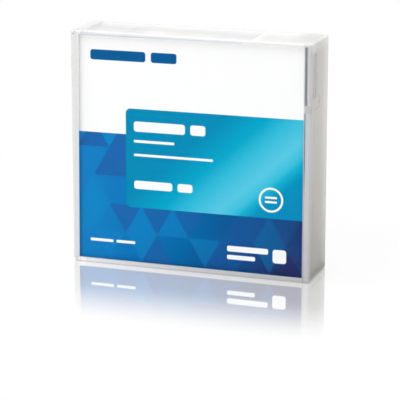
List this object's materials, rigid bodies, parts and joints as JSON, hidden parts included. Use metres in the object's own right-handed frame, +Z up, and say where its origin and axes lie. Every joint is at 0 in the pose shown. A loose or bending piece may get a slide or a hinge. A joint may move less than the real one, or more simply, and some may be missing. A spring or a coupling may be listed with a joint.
{
  "type": "data tape cartridge in storage case",
  "caption": "Single-reel data tape cartridge with tape door, reel brake and leader pin, standing in its hinged translucent storage case behind a printed insert card.",
  "frame": {"origin": "centre of the underside of the closed case, standing on its lower edge", "axes": "+X along the width towards the latch side, +Y from the front cover to the back wall, +Z up"},
  "size_m": [0.1112, 0.0266, 0.106],
  "materials": {
    "case_plastic": "frosted translucent polypropylene",
    "card": "coated printed card",
    "shell_plastic": "fine spark texture",
    "label_paper": "coated label",
    "screw_steel": "zinc plated",
    "hub_plastic": "moulded satin",
    "flange_plastic": "milky",
    "tape": "smooth magnetic tape",
    "plate_steel": "stamped, brushed",
    "brake_plastic": "moulded acetal",
    "spring_steel": "drawn wire",
    "lifter_plastic": "moulded acetal",
    "door_plastic": "moulded satin",
    "pin_steel": "turned",
    "clip_plastic": "moulded acetal",
    "tab_plastic": "moulded satin",
    "board": "solder mask",
    "chip_resin": "cast resin"
  },
  "bodies": {
    "case": {"case_tray": "case_plastic", "upper_shell": "shell_plastic", "lower_shell": "shell_plastic", "cartridge_label": "label_paper", "shell_screws": "screw_steel", "brake_spring": "spring_steel", "door_spring": "spring_steel", "leader_pin": "pin_steel", "pin_clips": "spring_steel", "tape_clip": "clip_plastic", "leader_tape": "tape", "memory_board": "board", "memory_chip": "chip_resin"},
    "lid": {"case_lid": "case_plastic", "insert_card": "card"},
    "reel": {"reel_hub": "hub_plastic", "upper_flange": "flange_plastic", "tape_pack": "tape", "hub_plate": "plate_steel"},
    "brake": {"brake_button": "brake_plastic"},
    "release": {"release_plate": "lifter_plastic"},
    "door": {"access_door": "door_plastic"},
    "protect_tab": {"write_protect_tab": "tab_plastic"}
  },
  "joints": [
    {"name": "lid_hinge", "type": "hinge", "parent": "case", "child": "lid", "pos_m": [-0.0544, -0.01215, 0.053], "axis": [0, 0, -1], "range_deg": [0, 180]},
    {"name": "reel_spin", "type": "hinge", "parent": "case", "child": "reel", "pos_m": [0, 0, 0.053], "axis": [0, 1, 0], "continuous": true},
    {"name": "brake_lift", "type": "slide", "parent": "case", "child": "brake", "axis": [0, -1, 0], "range_m": [0, 0.002], "stiffness_N_per_m": 900, "springref_m": -0.003, "deforming": ["brake_spring"]},
    {"name": "release_lift", "type": "slide", "parent": "reel", "child": "release", "axis": [0, -1, 0], "range_m": [0, 0.002]},
    {"name": "door_slide", "type": "slide", "parent": "case", "child": "door", "axis": [0, 0, 1], "range_m": [0, 0.013], "stiffness_N_per_m": 30, "springref_m": -0.006, "deforming": ["door_spring"]},
    {"name": "protect_slide", "type": "slide", "parent": "case", "child": "protect_tab", "axis": [-1, 0, 0], "range_m": [0, 0.006]}
  ],
  "couplings": [
    {"joint": "release_lift", "follows": "brake_lift", "ratio": 1}
  ]
}
